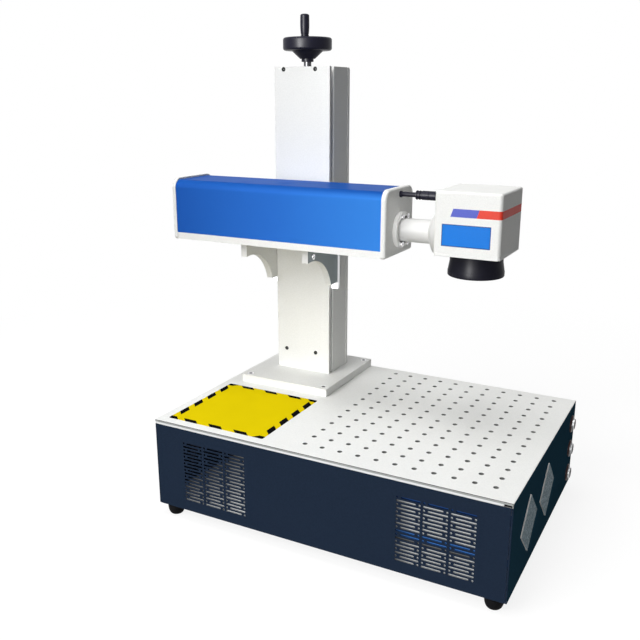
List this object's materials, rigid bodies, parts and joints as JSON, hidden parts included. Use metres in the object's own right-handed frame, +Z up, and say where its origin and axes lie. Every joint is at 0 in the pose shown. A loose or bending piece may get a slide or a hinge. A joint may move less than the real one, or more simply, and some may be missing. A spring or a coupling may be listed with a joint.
{
  "type": "laser marking machine",
  "caption": "Bench laser marking machine: drilled table on a dark housing, column with a hand-cranked lift, and a blue arm that carries a scanning head with its lens over the table",
  "frame": {"origin": "centre of the bounding box in X and Y, on the floor under the rubber feet", "axes": "+X to the operator's right, towards the scanning head, +Y to the back, +Z up"},
  "size_m": [0.5722, 0.3486, 0.686],
  "materials": {
    "white_paint": "satin powder coat",
    "navy_paint": "satin powder coat",
    "blue_paint": "glossy powder coat",
    "white_trim": "matt edge strip",
    "yellow_label": "printed film, bare of text",
    "speckled_plate": "speckled textured plate",
    "button_metal": "polished",
    "screw_steel": "plated",
    "bare_aluminium": "machined",
    "ground_steel": "ground",
    "bronze": "machined bronze",
    "black_plastic": "moulded, satin",
    "black_anodised": "anodised black",
    "red_plastic": "moulded",
    "board_green": "coated board",
    "rubber_black": "moulded",
    "lens_coating": "coated glass",
    "mirror_coating": "polished"
  },
  "bodies": {
    "base": {"table_plate": "white_paint", "edge_strip": "white_trim", "front_panel": "navy_paint", "left_side_panel": "navy_paint", "right_side_panel": "navy_paint", "rear_panel": "navy_paint", "floor_pan": "navy_paint", "corner_posts": "bare_aluminium", "rubber_feet": "rubber_black", "housing_screws": "screw_steel", "table_label": "yellow_label", "diamond_plates": "speckled_plate", "button_rings": "button_metal", "vent_linings": "white_trim", "power_inlet": "black_plastic", "power_supply": "bare_aluminium", "control_board": "board_green", "fan_frames": "black_plastic", "column_foot_plate": "white_paint", "column_cover": "white_paint", "column_left_profile": "white_paint", "column_right_profile": "white_paint", "column_back_plate": "white_paint", "column_end_blocks": "bare_aluminium", "column_screws": "screw_steel", "guide_rods": "ground_steel", "screw_bearings": "ground_steel"},
    "carriage": {"carriage_plate": "bare_aluminium", "carriage_block": "bare_aluminium", "lead_nut": "bronze", "left_bracket": "white_paint", "right_bracket": "white_paint", "bracket_screws": "screw_steel", "arm_floor": "white_paint", "arm_cover": "blue_paint", "arm_left_cap": "white_paint", "arm_right_cap": "white_paint", "flange_screws": "screw_steel", "beam_tube": "white_paint", "laser_source": "bare_aluminium", "beam_expander": "black_anodised", "cable_gland": "black_plastic", "scanner_cable": "black_plastic", "cable_connector": "black_plastic", "head_cover": "white_paint", "head_base": "white_paint", "galvo_motors": "black_anodised", "lens_barrel": "black_anodised", "lens_glass": "lens_coating"},
    "handwheel": {"lead_screw": "ground_steel", "handwheel": "black_plastic"},
    "grip": {"wheel_grip": "black_plastic"},
    "top_button": {"top_button": "button_metal"},
    "middle_button": {"middle_button": "button_metal"},
    "bottom_button": {"bottom_button": "button_metal"},
    "front_mirror": {"front_mirror": "mirror_coating"},
    "rear_mirror": {"rear_mirror": "mirror_coating"},
    "front_fan": {"front_fan_rotor": "black_plastic"},
    "rear_fan": {"rear_fan_rotor": "black_plastic"},
    "switch_rocker": {"switch_rocker": "red_plastic"}
  },
  "joints": [
    {"name": "carriage_lift", "type": "slide", "parent": "base", "child": "carriage", "axis": [0, 0, 1], "range_m": [-0.095, 0.14]},
    {"name": "handwheel_turn", "type": "hinge", "parent": "base", "child": "handwheel", "pos_m": [-0.12687, 0.09905, 0.6407], "axis": [0, 0, 1], "range_deg": [-10200, 7300]},
    {"name": "grip_spin", "type": "hinge", "parent": "handwheel", "child": "grip", "pos_m": [-0.11812, 0.07563, 0.67], "axis": [0, 0, 1], "continuous": true},
    {"name": "top_button_press", "type": "slide", "parent": "base", "child": "top_button", "axis": [-1, 0, 0], "range_m": [0, 0.0025], "stiffness_N_per_m": 800, "springref_m": -0.0015},
    {"name": "middle_button_press", "type": "slide", "parent": "base", "child": "middle_button", "axis": [-1, 0, 0], "range_m": [0, 0.0025], "stiffness_N_per_m": 800, "springref_m": -0.0015},
    {"name": "bottom_button_press", "type": "slide", "parent": "base", "child": "bottom_button", "axis": [-1, 0, 0], "range_m": [0, 0.0025], "stiffness_N_per_m": 800, "springref_m": -0.0015},
    {"name": "front_mirror_turn", "type": "hinge", "parent": "carriage", "child": "front_mirror", "pos_m": [0.16387, 0.01495, 0.403], "axis": [0, 0, 1], "range_deg": [-11, 11]},
    {"name": "rear_mirror_turn", "type": "hinge", "parent": "carriage", "child": "rear_mirror", "pos_m": [0.16387, 0.02515, 0.403], "axis": [1, 0, 0], "range_deg": [-11, 11]},
    {"name": "front_fan_spin", "type": "hinge", "parent": "base", "child": "front_fan", "pos_m": [-0.12287, -0.15975, 0.0835], "axis": [0, 1, 0], "continuous": true},
    {"name": "rear_fan_spin", "type": "hinge", "parent": "base", "child": "rear_fan", "pos_m": [-0.02888, 0.15725, 0.0785], "axis": [0, 1, 0], "continuous": true},
    {"name": "switch_rock", "type": "hinge", "parent": "base", "child": "switch_rocker", "pos_m": [0.23362, 0.16625, 0.0555], "axis": [1, 0, 0], "range_deg": [-8, 8]}
  ],
  "couplings": [
    {"joint": "handwheel_turn", "follows": "carriage_lift", "rad_per_m": -1256.6}
  ]
}
